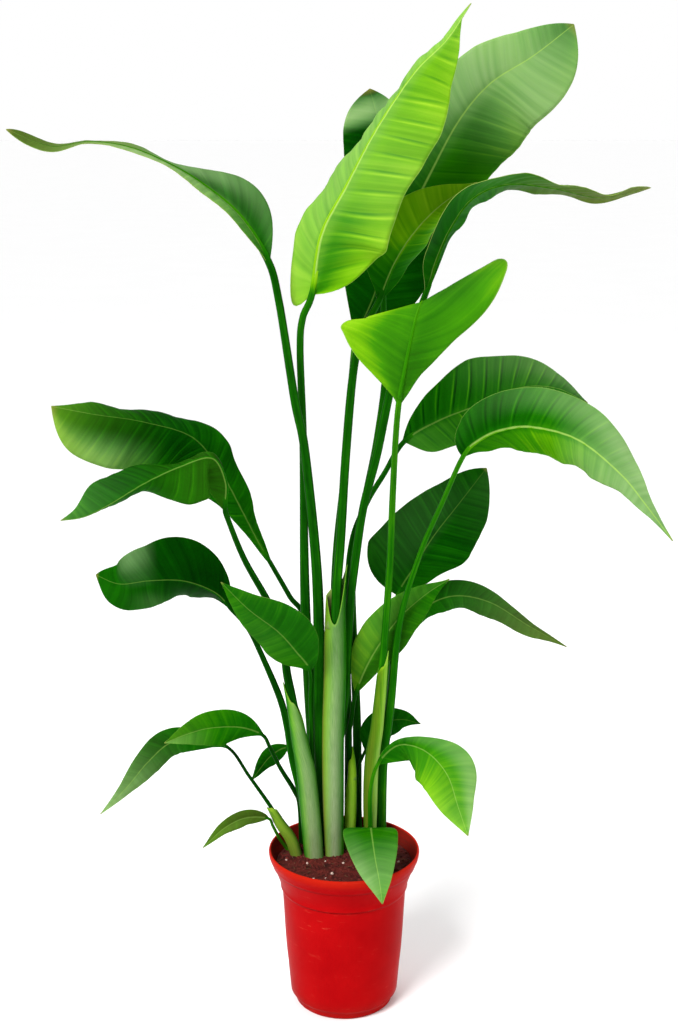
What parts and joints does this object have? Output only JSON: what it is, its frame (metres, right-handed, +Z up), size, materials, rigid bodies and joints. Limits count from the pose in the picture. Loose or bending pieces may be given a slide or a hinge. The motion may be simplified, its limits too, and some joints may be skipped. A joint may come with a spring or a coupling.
{
  "type": "potted bird of paradise plant",
  "caption": "Tall foliage plant with long stalks and broad waved leaves that fan to both sides, standing in soil in a flared round nursery pot.",
  "frame": {"origin": "centre of the pot's underside, on the surface that the plant stands on", "axes": "+Z up out of the pot, -Y towards the side that is seen first, +X to the right of that view"},
  "size_m": [0.6453, 0.3153, 1.0946],
  "materials": {
    "pot_plastic": "satin red moulded plastic, a little scuffed",
    "peat": "dark moist peat mix with pale grains",
    "leaf_lime": "young yellow-green leaf, soft gloss",
    "leaf_green": "green leathery leaf with a waxy sheen",
    "leaf_deep": "deep green leathery leaf with a waxy sheen"
  },
  "bodies": {
    "root": {"pot": "pot_plastic", "soil": "peat", "leaf_lime_tall": "leaf_lime", "leaf_broad_top": "leaf_green", "leaf_dark_back": "leaf_deep", "leaf_half_hidden": "leaf_green", "leaf_twisted_right": "leaf_green", "leaf_funnel": "leaf_lime", "leaf_right_rear": "leaf_green", "leaf_right_front": "leaf_green", "leaf_right_shade": "leaf_deep", "leaf_olive_low": "leaf_green", "leaf_arching_right": "leaf_green", "leaf_left_shade": "leaf_deep", "leaf_centre_small": "leaf_deep", "leaf_upper_left": "leaf_green", "leaf_left_drooping": "leaf_deep", "leaf_low_left_dark": "leaf_deep", "leaf_low_left_long": "leaf_green", "leaf_lowest_left": "leaf_green", "leaf_low_left_small": "leaf_deep", "leaf_low_right_bright": "leaf_lime", "leaf_low_right_dark": "leaf_deep", "leaf_over_rim": "leaf_green", "leaf_far_left": "leaf_green"}
  },
  "joints": []
}
